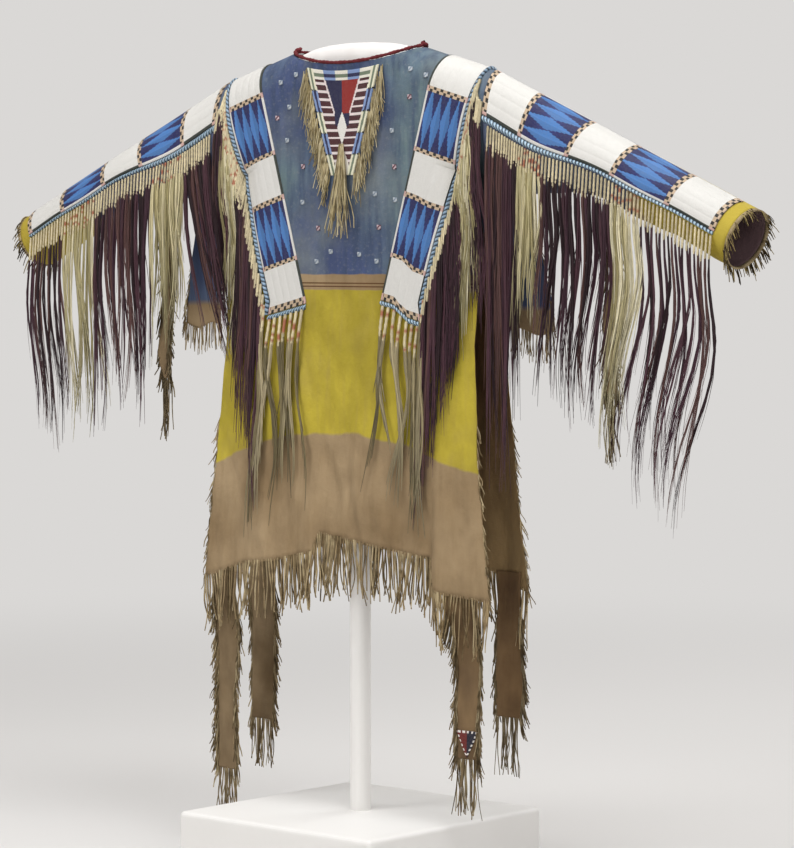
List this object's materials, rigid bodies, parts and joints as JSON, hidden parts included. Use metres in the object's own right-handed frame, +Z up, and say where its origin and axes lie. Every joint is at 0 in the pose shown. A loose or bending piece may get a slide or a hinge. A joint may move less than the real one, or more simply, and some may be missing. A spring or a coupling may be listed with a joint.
{
  "type": "beaded hide war shirt on a display stand",
  "caption": "Hide war shirt with beaded bands, hair locks and fringe, filled out with sleeves spread on a padded form, post and low plinth.",
  "frame": {"origin": "middle of the plinth's underside", "axes": "+Z up, -Y the shirt's front, +X towards the sleeve on the viewer's right"},
  "size_m": [1.757, 0.466, 1.483],
  "materials": {
    "painted_hide": "matte painted hide",
    "tanned_hide": "matte worked hide",
    "beadwork": "rows of small glass beads",
    "hair": "dark and dyed hair locks",
    "wool": "red wool binding",
    "form_cloth": "plain padded cloth",
    "stand_paint": "satin white paint"
  },
  "bodies": {
    "root": {"front_panel": "painted_hide", "back_panel": "painted_hide", "sleeve_left": "painted_hide", "sleeve_strip_left": "beadwork", "shoulder_strip_left": "beadwork", "sleeve_hair_left": "hair", "shoulder_hair_front_left": "hair", "shoulder_hair_back_left": "hair", "underarm_flap_left": "painted_hide", "sleeve_pendant_left": "tanned_hide", "cuff_fringe_left": "tanned_hide", "sleeve_right": "painted_hide", "sleeve_strip_right": "beadwork", "shoulder_strip_right": "beadwork", "sleeve_hair_right": "hair", "shoulder_hair_front_right": "hair", "shoulder_hair_back_right": "hair", "underarm_flap_right": "painted_hide", "sleeve_pendant_right": "tanned_hide", "cuff_fringe_right": "tanned_hide", "leg_front_left": "tanned_hide", "leg_fringe_front_left": "tanned_hide", "leg_front_right": "tanned_hide", "leg_fringe_front_right": "tanned_hide", "leg_back_left": "tanned_hide", "leg_fringe_back_left": "tanned_hide", "leg_back_right": "tanned_hide", "leg_fringe_back_right": "tanned_hide", "hem_fringe_front": "tanned_hide", "hem_fringe_back": "tanned_hide", "leg_triangle": "beadwork", "bib": "beadwork", "bib_fringe": "tanned_hide", "neck_binding": "wool", "padded_form": "form_cloth", "post": "stand_paint", "plinth": "stand_paint"}
  },
  "joints": []
}
